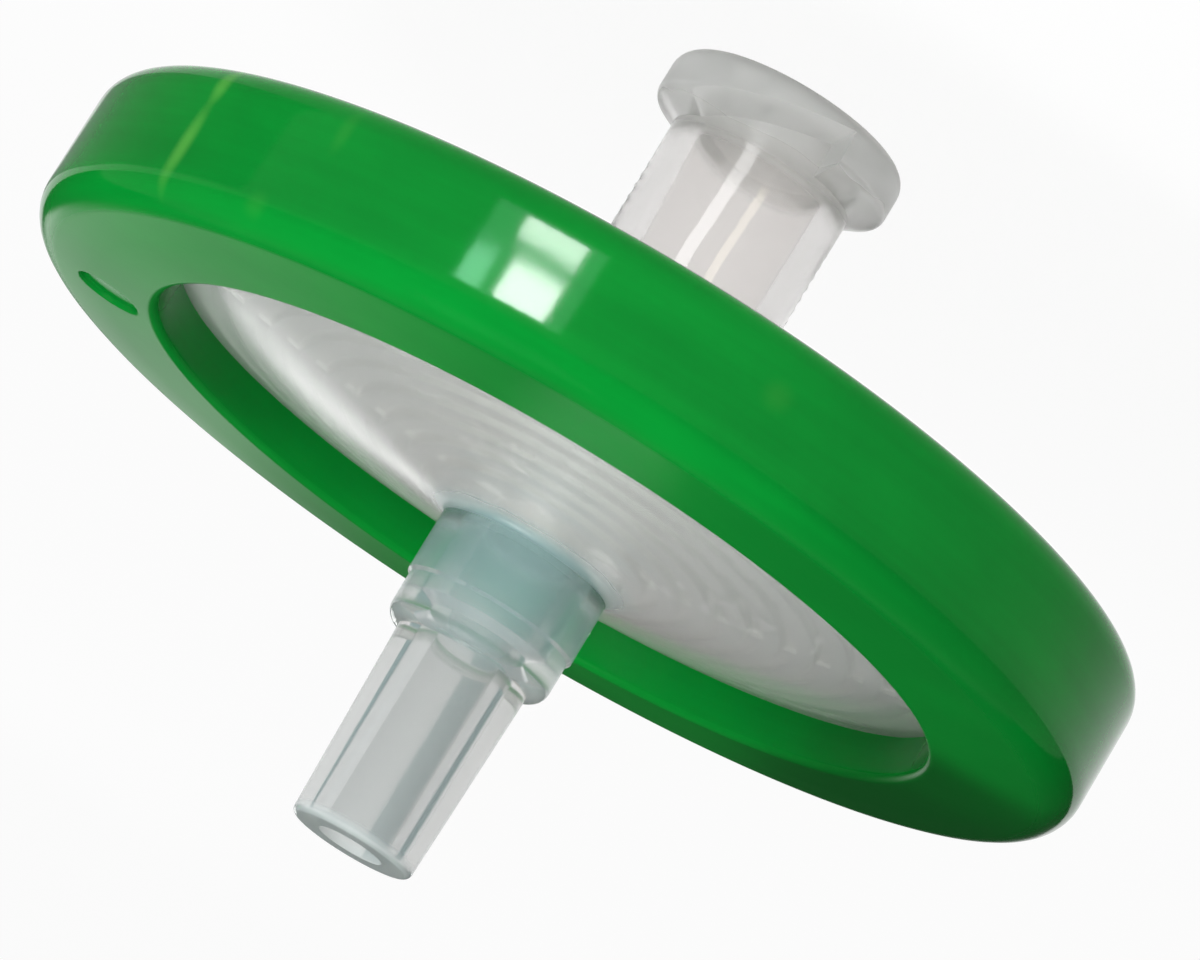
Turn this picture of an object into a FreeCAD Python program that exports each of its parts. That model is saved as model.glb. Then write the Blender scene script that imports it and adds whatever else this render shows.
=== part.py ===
import FreeCAD, Part
"""Overmoulded syringe filter, 35 mm across, with a luer-lock inlet and a luer-slip outlet.

The frame stands the filter on its inlet: the origin is the centre of the inlet's end face, +Z runs
along the flow towards the outlet tip, and +X passes through the first drain. All sizes are in mm.

Four pieces, in the order in which they are put together:
  inlet_housing    lower half: luer-lock socket with threaded lugs, conical floor, radial ribs
  membrane         white filter disc, clamped between the two halves at its margin
  outlet_housing   upper half: conical cover with concentric ribs inside, collar and male luer
  overmould_ring   green band moulded last around both rims, which locks the halves together
"""
import os
import re
import Sketcher

V = FreeCAD.Vector

doc = FreeCAD.newDocument("syringe_filter")
sheet = doc.addObject("Spreadsheet::Sheet", "sizes")

# name, value in mm (angles in degrees, counts as whole numbers), what it is
DRIVING_SIZES = [
    # overmoulded ring
    ("ring_radius", 17.5, "outer wall of the ring"),
    ("ring_bore_radius", 13.0, "edge of the window in both faces of the ring"),
    ("ring_back", 9.8, "ring face on the inlet side"),
    ("ring_front", 14.95, "ring face on the outlet side"),
    ("ring_lip", 1.5, "lip folded over the rim on the outlet side"),
    ("ring_back_lip", 0.9, "lip folded over the rim on the inlet side"),
    ("ring_crown", 0.25, "fall of each face from the bore to the shoulder"),
    ("ring_shoulder", 1.05, "round of the shoulder on the outlet side"),
    ("ring_heel", 0.9, "round of the shoulder on the inlet side"),
    ("ring_bore_round", 0.25, "round of the bore's edges"),
    ("gate_place", 14.7, "gate mark, distance from the axis"),
    ("gate_angle", 8.7, "gate mark, angle from +X"),
    ("gate_radius", 1.0, "gate mark, radius"),
    ("gate_depth", 0.15, "gate mark, depth"),
    # rims, gripped by the ring
    ("rim_radius", 15.6, "edge of both rims, inside the ring"),
    ("seat_radius", 12.7, "step that centres one half in the other"),
    ("parting", 11.5, "plane where the rims meet"),
    ("land", 11.9, "plane of the inlet half that the membrane lies on"),
    ("cone_rise", 2.02, "rise of each conical wall from the ring to the hub"),
    # membrane
    ("membrane_radius", 12.4, "cut edge of the disc"),
    ("membrane_gauge", 0.2, "thickness of the disc"),
    ("clamp_inner", 12.0, "inner edge of the clamped margin"),
    # channels under the cover
    ("cover_gauge", 1.2, "wall between the channels and the cone at the margin"),
    ("ceiling_slope", 0.09, "fall of the channels' bottoms for each mm from the axis"),
    ("channel_first", 2.6, "inner side of the first round channel"),
    ("channel_pitch", 1.065, "spacing of the round channels"),
    ("channel_width", 0.58, "width of a round channel"),
    ("drain_width", 0.8, "width of a radial drain"),
    ("drain_reach", 11.75, "outer end of a radial drain"),
    ("drain_depth", 0.42, "depth of a radial drain"),
    # outlet: collar and male luer slip
    ("collar_radius", 2.75, "collar, lower part"),
    ("collar_neck_radius", 2.65, "collar, upper part"),
    ("collar_foot_round", 0.3, "fillet between collar and cone"),
    ("collar_step", 17.65, "height of the small step round the collar"),
    ("collar_top", 19.2, "end face of the collar"),
    ("collar_round", 0.48, "round of the collar's end"),
    ("slip_base_radius", 2.15, "male luer where it leaves the collar"),
    ("slip_tip_radius", 1.97, "male luer at its end"),
    ("slip_tip", 25.5, "end of the male luer"),
    ("slip_round", 0.2, "round of the male luer's end"),
    ("lumen_radius", 1.05, "bore through the male luer"),
    ("well_radius", 1.4, "wider bore inside the collar"),
    ("well_top", 18.3, "shoulder between the two bores"),
    ("well_cone", 0.3, "length of the cone between the two bores"),
    # inlet: luer-lock socket
    ("hub_radius", 2.97, "outside of the inlet hub"),
    ("hub_round", 0.6, "fillet between hub and cone"),
    ("mouth_radius", 2.15, "luer socket at the mouth"),
    ("socket_depth", 8.0, "depth of the luer socket"),
    ("luer_taper", 0.03, "fall of the luer's radius for each mm of depth"),
    ("mouth_round", 0.15, "round of the socket's mouth"),
    ("orifice_radius", 1.2, "passage from the socket to the membrane"),
    ("lug_radius", 3.87, "outside of the luer lugs"),
    ("lug_height", 1.5, "lug at its outside, from the end face"),
    ("lug_root", 2.0, "lug where its flank meets the hub, from the end face"),
    ("lug_round", 0.6, "round of the lug at the end face"),
    ("lug_edge_round", 0.3, "round between flank and outside"),
    ("thread_lead", 5.0, "rise of the luer lock's thread in one turn"),
    ("thread_angle", -38.0, "start of the first lug's threaded flank, from +X"),
    ("thread_sweep", 80.0, "angle that a threaded flank covers"),
    # radial ribs on the floor of the inlet half
    ("floor_gauge", 1.0, "wall under the chamber at the margin"),
    ("floor_rib_width", 0.6, "width of a radial rib"),
    ("floor_rib_inner", 2.2, "inner end of a radial rib"),
    ("floor_rib_outer", 11.3, "outer end of a radial rib"),
    ("floor_rib_gap", 0.2, "gap between a rib and the membrane"),
    ("floor_rib_foot", 1.2, "height of a rib, with its foot inside the wall"),
]

DRAIN_COUNT = 8
CHANNEL_COUNT = 9
FLOOR_RIB_COUNT = 8
LUG_COUNT = 2

for row, (alias, value, meaning) in enumerate(DRIVING_SIZES, start=1):
    sheet.set(f"A{row}", meaning)
    sheet.set(f"B{row}", str(value))
    sheet.setAlias(f"B{row}", alias)
doc.recompute()


def size(alias):
    """Value of a driving size."""
    return getattr(sheet, alias)


def expression(words):
    """Spreadsheet expression for words such as 'ring_front - ring_lip'."""
    return re.sub(r"[a-z_]+", lambda word: f"sizes.{word[0]}" if word[0] in SIZE_NAMES else word[0], words)


def evaluate(words):
    """Number that the same words give, to place a sketch's first points."""
    total = sheet.evalExpression(expression(words))
    return getattr(total, "Value", total)


SIZE_NAMES = {alias for alias, _, _ in DRIVING_SIZES}


def origin_plane(body, role):
    """One of the body's own origin planes or axes, found by its role."""
    return next(item for item in body.Origin.OriginFeatures if item.Role == role)


def recompute(feature):
    """Recompute the document and stop if the new feature failed."""
    doc.recompute()
    if "Invalid" in feature.State:
        raise RuntimeError(f"{feature.Name} failed: {feature.State}")


def new_body(name):
    body = doc.addObject("PartDesign::Body", name)
    body.Label = name
    return body


def new_sketch(body, name, plane, height=None, turn=None):
    """Sketch on an origin plane, raised by a named height or turned about Z by a named angle."""
    sketch = body.newObject("Sketcher::SketchObject", name)
    sketch.AttachmentSupport = (origin_plane(body, plane), "")
    sketch.MapMode = "FlatFace"
    if height is not None:
        sketch.setExpression("AttachmentOffset.Base.z", expression(height))
    if turn is not None:
        sketch.AttachmentOffset = FreeCAD.Placement(V(), FreeCAD.Rotation(V(0, 1, 0), size(turn)))
        sketch.setExpression("AttachmentOffset.Rotation.Angle", f"sizes.{turn} * 1deg")
    return sketch


def drive(sketch, kind, first, point, words):
    """Distance of a sketch point from the origin along one axis, bound to the sheet."""
    number = sketch.addConstraint(
        Sketcher.Constraint(kind, -1, 1, first, point, evaluate(words)))
    sketch.setExpression(f"Constraints[{number}]", expression(words))


def round_corner(sketch, line, radius):
    """Arc of a named radius at the start of a line, tangent to it and to the line before it."""
    arc = sketch.GeometryCount
    sketch.fillet(line, 1, size(radius), True, True)
    number = sketch.addConstraint(Sketcher.Constraint("Radius", arc, size(radius)))
    sketch.setExpression(f"Constraints[{number}]", f"sizes.{radius}")


def closed_outline(sketch, corners):
    """Closed polygon through corners (across, up[, round]), given in words that name driving sizes.

    A corner with a third item is rounded by an arc of that named radius, tangent to both its lines.
    """
    points = [V(evaluate(corner[0]), evaluate(corner[1]), 0) for corner in corners]
    lines = [
        sketch.addGeometry(Part.LineSegment(start, end))
        for start, end in zip(points, points[1:] + points[:1])
    ]
    for line, following in zip(lines, lines[1:] + lines[:1]):
        sketch.addConstraint(Sketcher.Constraint("Coincident", line, 2, following, 1))
    for line, (across, up, *_) in zip(lines, corners):
        if up == "0":
            sketch.addConstraint(Sketcher.Constraint("PointOnObject", line, 1, -1))
        else:
            drive(sketch, "DistanceY", line, 1, up)
        drive(sketch, "DistanceX", line, 1, across)
    for line, corner in zip(lines, corners):
        if len(corner) == 3:
            round_corner(sketch, line, corner[2])


def revolve(body, name, sketch, kind="PartDesign::Revolution"):
    """Turn a sketch about Z, all the way round."""
    feature = body.newObject(kind, name)
    feature.Profile = sketch
    feature.ReferenceAxis = (sketch, ["V_Axis"])
    feature.Angle = 360
    recompute(feature)


def repeat_round(body, name, feature, count):
    """Repeat a feature evenly about Z."""
    pattern = body.newObject("PartDesign::PolarPattern", name)
    pattern.Originals = [feature]
    pattern.Axis = (origin_plane(body, "Z_Axis"), [""])
    pattern.Angle = 360
    pattern.Occurrences = count
    body.Tip = pattern
    recompute(pattern)


def ceiling_height(words):
    """Height of the round channels' bottoms at a distance from the axis, in words."""
    return ("ring_front - ring_lip + cone_rise * (ring_bore_radius - clamp_inner)"
            " / (ring_bore_radius - collar_radius) - cover_gauge"
            f" + ceiling_slope * (clamp_inner - ({words}))")


MEMBRANE_TOP = "land + membrane_gauge"


def make_overmould_ring():
    """C-section band: outer wall, two lips over the rims, rounded shoulders, gate mark."""
    body = new_body("overmould_ring")
    section = new_sketch(body, "ring_section", "XZ_Plane")
    closed_outline(section, [
        ("ring_bore_radius", "ring_front", "ring_bore_round"),
        ("ring_bore_radius", "ring_front - ring_lip"),
        ("rim_radius", "ring_front - ring_lip"),
        ("rim_radius", "ring_back + ring_back_lip"),
        ("ring_bore_radius", "ring_back + ring_back_lip"),
        ("ring_bore_radius", "ring_back", "ring_bore_round"),
        ("ring_radius", "ring_back + ring_crown", "ring_heel"),
        ("ring_radius", "ring_front - ring_crown", "ring_shoulder"),
    ])
    revolve(body, "ring_band", section)

    mark = new_sketch(body, "gate_circle", "XY_Plane", height="ring_front")
    circle = mark.addGeometry(Part.Circle(V(size("gate_place"), 0, 0), V(0, 0, 1), size("gate_radius")))
    radius = mark.addConstraint(Sketcher.Constraint("Radius", circle, size("gate_radius")))
    mark.setExpression(f"Constraints[{radius}]", "sizes.gate_radius")
    drive(mark, "DistanceX", circle, 3, "gate_place * cos(gate_angle * 1deg)")
    drive(mark, "DistanceY", circle, 3, "gate_place * sin(gate_angle * 1deg)")
    pocket = body.newObject("PartDesign::Pocket", "gate_mark")
    pocket.Profile = mark
    pocket.setExpression("Length", "sizes.gate_depth + sizes.ring_crown / 2")
    recompute(pocket)
    return body


def make_outlet_housing():
    """Conical cover with collar and male luer, round channels and radial drains inside."""
    body = new_body("outlet_housing")
    section = new_sketch(body, "outlet_section", "XZ_Plane")
    closed_outline(section, [
        ("rim_radius", "parting"),
        ("rim_radius", "ring_front - ring_lip"),
        ("ring_bore_radius", "ring_front - ring_lip"),
        ("collar_radius", "ring_front - ring_lip + cone_rise", "collar_foot_round"),
        ("collar_radius", "collar_step"),
        ("collar_neck_radius", "collar_step + collar_radius - collar_neck_radius"),
        ("collar_neck_radius", "collar_top", "collar_round"),
        ("slip_base_radius", "collar_top"),
        ("slip_tip_radius", "slip_tip", "slip_round"),
        ("lumen_radius", "slip_tip"),
        ("lumen_radius", "well_top"),
        ("well_radius", "well_top - well_cone"),
        ("well_radius", MEMBRANE_TOP),
        ("seat_radius", MEMBRANE_TOP),
        ("seat_radius", "parting"),
    ])
    revolve(body, "outlet_solid", section)

    channels = new_sketch(body, "channel_sections", "XZ_Plane")
    for number in range(CHANNEL_COUNT):
        inner = f"channel_first + {number} * channel_pitch"
        outer = f"{inner} + channel_width"
        closed_outline(channels, [
            (inner, MEMBRANE_TOP),
            (outer, MEMBRANE_TOP),
            (outer, ceiling_height(outer)),
            (inner, ceiling_height(inner)),
        ])
    revolve(body, "round_channels", channels, kind="PartDesign::Groove")

    drain = new_sketch(body, "drain_outline", "XY_Plane", height=MEMBRANE_TOP)
    closed_outline(drain, [
        ("well_radius / 2", "- drain_width / 2"),
        ("drain_reach", "- drain_width / 2"),
        ("drain_reach", "drain_width / 2"),
        ("well_radius / 2", "drain_width / 2"),
    ])
    cut = body.newObject("PartDesign::Pocket", "drain")
    cut.Profile = drain
    cut.Reversed = True
    cut.setExpression("Length", "sizes.drain_depth")
    recompute(cut)
    repeat_round(body, "drains", cut, DRAIN_COUNT)
    return body


def make_lug_ring():
    """Flange round the socket's mouth, whose flank is cut by a two-start thread into two lugs."""
    body = new_body("lug_ring")
    section = new_sketch(body, "lug_section", "XZ_Plane")
    closed_outline(section, [
        ("(mouth_radius + hub_radius) / 2", "0"),
        ("lug_radius", "0", "lug_round"),
        ("lug_radius", "lug_height", "lug_edge_round"),
        ("hub_radius", "lug_root"),
        ("(mouth_radius + hub_radius) / 2", "lug_root"),
    ])
    revolve(body, "lug_flange", section)

    # the groove's floor is the flank's own line, drawn on by the depth of a lug at both ends
    groove = new_sketch(body, "thread_section", "XZ_Plane", turn="thread_angle")
    closed_outline(groove, [
        ("2 * hub_radius - lug_radius", "2 * lug_root - lug_height"),
        ("2 * lug_radius - hub_radius", "2 * lug_height - lug_root"),
        ("2 * lug_radius - hub_radius", "2 * lug_root"),
        ("2 * hub_radius - lug_radius", "2 * lug_root"),
    ])
    thread = body.newObject("PartDesign::SubtractiveHelix", "thread_flank")
    thread.Profile = groove
    thread.ReferenceAxis = (groove, ["V_Axis"])
    thread.Mode = "pitch-turns-angle"
    thread.setExpression("Pitch", "sizes.thread_lead")
    thread.setExpression("Turns", "sizes.thread_sweep / 360")
    thread.Reversed = True
    recompute(thread)
    repeat_round(body, "thread_flanks", thread, LUG_COUNT)
    return body


def make_inlet_housing():
    """Conical floor with the luer-lock socket, two lugs and the chamber's radial ribs."""
    body = new_body("inlet_housing")
    section = new_sketch(body, "inlet_section", "XZ_Plane")
    socket_floor = "mouth_radius - luer_taper * socket_depth"
    chamber_edge = ("ring_back + ring_back_lip - cone_rise * (ring_bore_radius - clamp_inner)"
                    " / (ring_bore_radius - hub_radius) + floor_gauge")
    closed_outline(section, [
        ("mouth_radius", "0", "mouth_round"),
        ("hub_radius", "0"),
        ("hub_radius", "ring_back + ring_back_lip - cone_rise", "hub_round"),
        ("ring_bore_radius", "ring_back + ring_back_lip"),
        ("rim_radius", "ring_back + ring_back_lip"),
        ("rim_radius", "parting"),
        ("seat_radius", "parting"),
        ("seat_radius", "land"),
        ("clamp_inner", "land"),
        ("clamp_inner", chamber_edge),
        ("orifice_radius", f"{chamber_edge} - ceiling_slope * (clamp_inner - orifice_radius)"),
        ("orifice_radius", "socket_depth"),
        (socket_floor, "socket_depth"),
    ])
    revolve(body, "inlet_solid", section)

    lugs = body.newObject("PartDesign::Boolean", "luer_lugs")
    lugs.Type = "Fuse"
    lugs.setObjects([make_lug_ring()])
    recompute(lugs)

    rib = new_sketch(body, "floor_rib_outline", "XY_Plane",
                     height="land - floor_rib_gap - floor_rib_foot")
    closed_outline(rib, [
        ("floor_rib_inner", "- floor_rib_width / 2"),
        ("floor_rib_outer", "- floor_rib_width / 2"),
        ("floor_rib_outer", "floor_rib_width / 2"),
        ("floor_rib_inner", "floor_rib_width / 2"),
    ])
    pad = body.newObject("PartDesign::Pad", "floor_rib")
    pad.Profile = rib
    pad.setExpression("Length", "sizes.floor_rib_foot")
    recompute(pad)
    repeat_round(body, "floor_ribs", pad, FLOOR_RIB_COUNT)
    return body


def make_membrane():
    """Flat disc of filter film."""
    disc = doc.addObject("Part::Cylinder", "membrane")
    disc.Label = "membrane"
    disc.setExpression("Radius", "sizes.membrane_radius")
    disc.setExpression("Height", "sizes.membrane_gauge")
    disc.setExpression("Placement.Base.z", "sizes.land")
    return disc


pieces = [
    make_inlet_housing(),
    make_membrane(),
    make_outlet_housing(),
    make_overmould_ring(),
]
doc.recompute()

for item in doc.Objects:
    if "Invalid" in item.State or "Error" in item.State:
        raise RuntimeError(f"{item.Name} failed: {item.State}")
os.makedirs("parts", exist_ok=True)
for piece in pieces:
    shape = piece.Shape
    if shape.isNull() or not shape.isValid():
        raise RuntimeError(f"{piece.Label} has no valid shape")
    print(piece.Label, len(shape.Solids), round(shape.Volume, 2), shape.BoundBox)
    shape.exportStep(f"parts/{piece.Label}.step")
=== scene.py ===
"""Overmoulded syringe filter on a plain white table, in soft studio light.

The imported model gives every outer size. Each of its four pieces is rebuilt here as one smooth
surface over the same outline, with the finish of its real material: a band of green polypropylene
moulded round two halves of natural polypropylene, which hold a white filter film between them.
"""

import math

import bmesh
import bpy
import numpy as np
from mathutils import Matrix, Vector


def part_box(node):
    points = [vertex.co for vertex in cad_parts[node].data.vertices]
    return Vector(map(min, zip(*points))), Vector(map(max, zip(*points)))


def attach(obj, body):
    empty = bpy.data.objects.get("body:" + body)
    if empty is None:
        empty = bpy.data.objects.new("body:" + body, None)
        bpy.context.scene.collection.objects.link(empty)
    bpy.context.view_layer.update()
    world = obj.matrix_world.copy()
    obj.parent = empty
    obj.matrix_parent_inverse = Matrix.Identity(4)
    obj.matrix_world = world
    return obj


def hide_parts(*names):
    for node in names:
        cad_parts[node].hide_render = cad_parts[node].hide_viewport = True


bl_info = {
    "name": "Overmoulded Syringe Filter",
    "version": (1, 0, 0),
    "blender": (4, 5, 0),
    "location": "3D View > Sidebar > Filter",
    "description": "Builds a syringe filter's pieces, finishes and studio over its packed frame",
    "category": "Object",
}

MM = 0.001
TURN = 2 * math.pi
WELD = 0.0005 * MM  # points closer than this become one
SHARP_ANGLE = math.radians(32)  # an edge that turns by more than this is shaded sharp
DRAFT = 0.02 * MM  # half the run of a steep moulded wall
HAIR = 1e-9  # metres by which two equal radii or heights may differ
RAYS = ("camera", "diffuse", "glossy", "transmission", "shadow")  # that may meet a lamp or card

# Marks of the moulding on the ring's wall: angle from +X in degrees, then lower end, upper end and
# half width in millimetres, then strength. The first two are a flow streak, the rest ejector spots.
WALL_MARKS = (
    (-37.2, 10.3, 11.3, 0.25, 0.4),
    (-37.0, 11.8, 13.9, 0.25, 0.4),
    (-54.5, 10.5, 11.6, 0.2, 0.06),
    (-50.0, 13.6, 14.2, 0.3, 0.05),
    (-101.8, 11.5, 12.2, 0.35, 0.06),
)

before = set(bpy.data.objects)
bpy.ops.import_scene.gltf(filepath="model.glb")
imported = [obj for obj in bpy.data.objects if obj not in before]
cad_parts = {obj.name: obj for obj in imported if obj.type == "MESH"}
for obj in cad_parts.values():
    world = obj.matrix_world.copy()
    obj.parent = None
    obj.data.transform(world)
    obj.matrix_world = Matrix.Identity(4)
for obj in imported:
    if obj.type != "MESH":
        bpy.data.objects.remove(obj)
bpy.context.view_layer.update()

RING_LOW, RING_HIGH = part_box("overmould_ring")
OUTLET_LOW, OUTLET_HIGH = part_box("outlet_housing")
INLET_LOW, INLET_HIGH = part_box("inlet_housing")
FILM_LOW, FILM_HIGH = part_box("membrane")


# ---------------------------------------- sizes and colours that a user would change


def length(name, millimetres, description):
    """Length property whose default is given in millimetres."""
    return bpy.props.FloatProperty(
        name=name, description=description, default=millimetres * MM, min=0.0, unit="LENGTH",
        precision=5)


def angle(name, degrees, description):
    """Angle property whose default is given in degrees."""
    return bpy.props.FloatProperty(
        name=name, description=description, default=math.radians(degrees), subtype="ANGLE")


def share(name, value, description):
    """Plain number from 0 to 1."""
    return bpy.props.FloatProperty(
        name=name, description=description, default=value, min=0.0, max=1.0, subtype="FACTOR")


def linear(hex_colour):
    """Linear red, green, blue and alpha of an sRGB colour written as RRGGBB."""
    channels = [int(hex_colour[i:i + 2], 16) / 255 for i in (0, 2, 4)]
    curved = [c / 12.92 if c <= 0.04045 else ((c + 0.055) / 1.055) ** 2.4 for c in channels]
    return (*curved, 1.0)


def colour(name, hex_colour, description):
    """Colour property whose default is an sRGB hex value."""
    return bpy.props.FloatVectorProperty(
        name=name, description=description, size=4, min=0.0, max=1.0, subtype="COLOR",
        default=linear(hex_colour))


class FilterSizes(bpy.types.PropertyGroup):
    """Sizes of the moulded pieces that their boxes in the frame don't give."""

    bore_radius: length("Window Radius", 13.0, "Edge of the window in both faces of the ring")
    lip: length("Lip", 1.5, "Thickness of the face that folds over the outlet rim")
    back_lip: length("Back Lip", 0.9, "Thickness of the face that folds over the inlet rim")
    crown: length("Crown", 0.25, "Fall of each face from the window to the shoulder")
    shoulder: length("Shoulder", 1.05, "Round of the ring's edge on the outlet side")
    heel: length("Heel", 0.9, "Round of the ring's edge on the inlet side")
    edge: length("Window Edge", 0.25, "Round of the window's edges")
    gate_place: length("Gate Place", 14.7, "Distance of the gate mark from the axis")
    gate_angle: angle("Gate Angle", 8.7, "Angle of the gate mark from +X")
    gate_radius: length("Gate Radius", 1.0, "Radius of the gate mark")
    gate_depth: length("Gate Depth", 0.15, "Depth of the gate mark")

    seat_radius: length("Seat Radius", 12.7, "Step that centres one half in the other")
    clamp_radius: length("Clamp Radius", 12.0, "Inner edge of the film's clamped margin")
    cone_rise: length("Cone Rise", 2.02, "Rise of each conical wall from the ring to the hub")
    channel_first: length("First Channel", 2.6, "Inner side of the first round channel")
    channel_pitch: length("Channel Pitch", 1.065, "Spacing of the round channels under the cover")
    channel_width: length("Channel Width", 0.58, "Width of a round channel")
    channel_count: bpy.props.IntProperty(
        name="Channels", description="Number of round channels under the cover", default=9, min=1,
        max=12)
    channel_top: length("Channel Top", 12.447, "Height of the outermost channel's ceiling")
    channel_fall: share("Channel Fall", 0.09, "Fall of the ceiling for each unit of radius")
    drain_count: bpy.props.IntProperty(
        name="Drains", description="Number of radial drains, and of ribs below the film",
        default=8, min=3, max=16)
    drain_width: length("Drain Width", 0.8, "Width of a radial drain")
    drain_reach: length("Drain Reach", 11.75, "Outer end of a radial drain")
    drain_depth: length("Drain Depth", 0.42, "Depth of a radial drain")

    collar_radius: length("Collar Radius", 2.75, "Lower part of the outlet's collar")
    neck_radius: length("Neck Radius", 2.65, "Upper part of the outlet's collar")
    collar_foot: length("Collar Foot", 0.3, "Round between the cover and the collar")
    collar_step: length("Collar Step", 17.65, "Height of the step in the collar")
    collar_top: length("Collar Top", 19.2, "Height of the collar's end")
    collar_round: length("Collar Round", 0.48, "Round of the collar's end")
    slip_base: length("Slip Base", 2.15, "Radius of the male luer at the collar")
    slip_tip: length("Slip Tip", 1.97, "Radius of the male luer at its end")
    slip_round: length("Slip Round", 0.2, "Round of the male luer's end")
    lumen_radius: length("Lumen Radius", 1.05, "Radius of the bore through the male luer")
    well_radius: length("Well Radius", 1.4, "Radius of the bore inside the collar")
    well_top: length("Well Top", 18.3, "Height where the bore narrows to the lumen")

    hub_radius: length("Hub Radius", 2.97, "Radius of the inlet hub")
    hub_round: length("Hub Round", 0.6, "Round between the inlet hub and its conical floor")
    mouth_radius: length("Mouth Radius", 2.15, "Radius of the female luer's mouth")
    mouth_round: length("Mouth Round", 0.15, "Round of the female luer's mouth")
    socket_depth: length("Socket Depth", 8.0, "Depth of the female luer")
    socket_end: length("Socket End", 1.91, "Radius of the female luer at its end")
    orifice_radius: length("Orifice Radius", 1.2, "Radius of the bore from the socket to the film")
    floor_gauge: length("Floor Gauge", 1.0, "Wall of the conical floor at the orifice")
    lug_radius: length("Lug Radius", 3.87, "Radius of the luer-lock lugs")
    lug_height: length("Lug Height", 1.5, "Height of a lug at its edge")
    lug_root: length("Lug Root", 2.0, "Height of a lug at the hub")
    lug_round: length("Lug Round", 0.6, "Round of a lug's lower edge")
    lug_edge: length("Lug Edge", 0.3, "Round of a lug's upper edge")
    thread_lead: length("Thread Lead", 5.0, "Rise of the luer lock's thread in one turn")
    thread_angle: angle("Thread Angle", -38.0, "Upper end of the first threaded flank, from +X")
    thread_sweep: angle("Thread Sweep", 80.0, "Angle that a threaded flank spans")
    rib_width: length("Rib Width", 0.6, "Width of a rib under the film")
    rib_inner: length("Rib Start", 2.2, "Inner end of a rib")
    rib_outer: length("Rib End", 11.3, "Outer end of a rib")
    rib_top: length("Rib Top", 11.7, "Height of the ribs")

    contact: length("Contact", 0.02, "Reach of the clear rims into the green, and gap to the film")


class FilterColours(bpy.types.PropertyGroup):
    """Colours of the plastics, the film and the table."""

    green: colour("Green", "038B2D", "Pigmented polypropylene of the ring")
    green_deep: colour("Deep Green", "027A27", "Where the pigment is denser")
    green_streak: colour("Streak", "6FBE50", "Weak pigment in a flow streak")
    natural: colour("Natural", "FAF7F6", "Unpigmented polypropylene, looked through")
    natural_thick: colour("Thick Natural", "DFDDDC", "The same, in the thick walls of the spigot")
    natural_haze: colour("Haze", "F4F4F4", "Light scattered back by unpigmented polypropylene")
    # Painted reflection: a teal tint that stands in for the green ring seen in and through the
    # clear collar, spigot and cover.
    painted_ring_reflection: colour("Blue Haze", "A2CCCF", "The same in the thick walls of the collar")
    film: colour("Film", "E6F6EE", "Filter film")
    film_shade: colour("Film Shade", "DAEAE2", "Denser spots of the filter film")
    table: colour("Table", "FFFFFF", "Table top")
    board: colour("Board", "64989B", "Painted board behind the clear plastic")
    window: colour("Window", "FFFFFF", "Daylight")
    window_warm: colour("Warm Light", "FFF6D8", "Room lamp beside the window")
    window_cool: colour("Sky Light", "BFFFE6", "Sky beside the window")


class StudioSettings(bpy.types.PropertyGroup):
    """Camera and light."""

    camera_place: bpy.props.FloatVectorProperty(
        name="Camera Place", description="Place of the camera", subtype="TRANSLATION",
        unit="LENGTH", default=(-0.68 * MM, -195.6 * MM, 56.6 * MM), precision=5)
    camera_tilt: angle("Camera Tilt", 77.286, "Angle between the camera's view and straight down")
    camera_roll: angle("Camera Roll", 211.322, "Turn of the camera about its view")
    camera_lens: bpy.props.FloatProperty(
        name="Lens", description="Focal length on a 36 mm wide sensor", default=206.3,
        subtype="DISTANCE_CAMERA")
    room_light: share("Room Light", 0.35, "Strength of the plain light from all round")
    table_glow: share("Table Glow", 0.94, "Share of the table's white that doesn't take shadows")


# ---------------------------------------- surfaces


def unit_vectors(vectors):
    """Each row divided by its length."""
    return vectors / np.linalg.norm(vectors, axis=1, keepdims=True)


def rounded_outline(corners, arc_steps=8):
    """Points along a closed outline in a plane through the axis, as two arrays: radius and height.

    A corner is (radius, height, round, cuts). Its round is the arc that touches both of its sides,
    whose centre lies on the bisector at round / sin(half the corner's angle). The straight run to
    the next corner is cut into that many equal lengths.
    """
    points = np.array([corner[:2] for corner in corners], float)
    rounds = np.array([corner[2] for corner in corners], float)
    back = unit_vectors(np.roll(points, 1, axis=0) - points)
    ahead = unit_vectors(np.roll(points, -1, axis=0) - points)
    half = np.arccos(np.clip((back * ahead).sum(axis=1), -1.0, 1.0)) / 2
    tangent = (rounds / np.tan(half))[:, None]
    starts, ends = points + back * tangent, points + ahead * tangent
    stretches = []
    for i, (_, _, round_size, cuts) in enumerate(corners):
        if round_size > 0:
            bisector = back[i] + ahead[i]
            bisector = bisector / np.linalg.norm(bisector)
            centre = points[i] + bisector * round_size / math.sin(half[i])
            sweep = math.pi - 2 * half[i]
            t = np.linspace(0.0, 1.0, arc_steps + 1)[:, None]
            leaving = np.sin((1 - t) * sweep) * (starts[i] - centre)
            arriving = np.sin(t * sweep) * (ends[i] - centre)
            stretches.append(centre + (leaving + arriving) / math.sin(sweep))
        else:
            stretches.append(points[i:i + 1])
        inner = np.linspace(0.0, 1.0, cuts + 1)[1:-1, None]
        following = starts[(i + 1) % len(corners)]
        stretches.append(ends[i] * (1 - inner) + following * inner)
    outline = np.vstack(stretches)
    return outline[:, 0], outline[:, 1]


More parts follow.
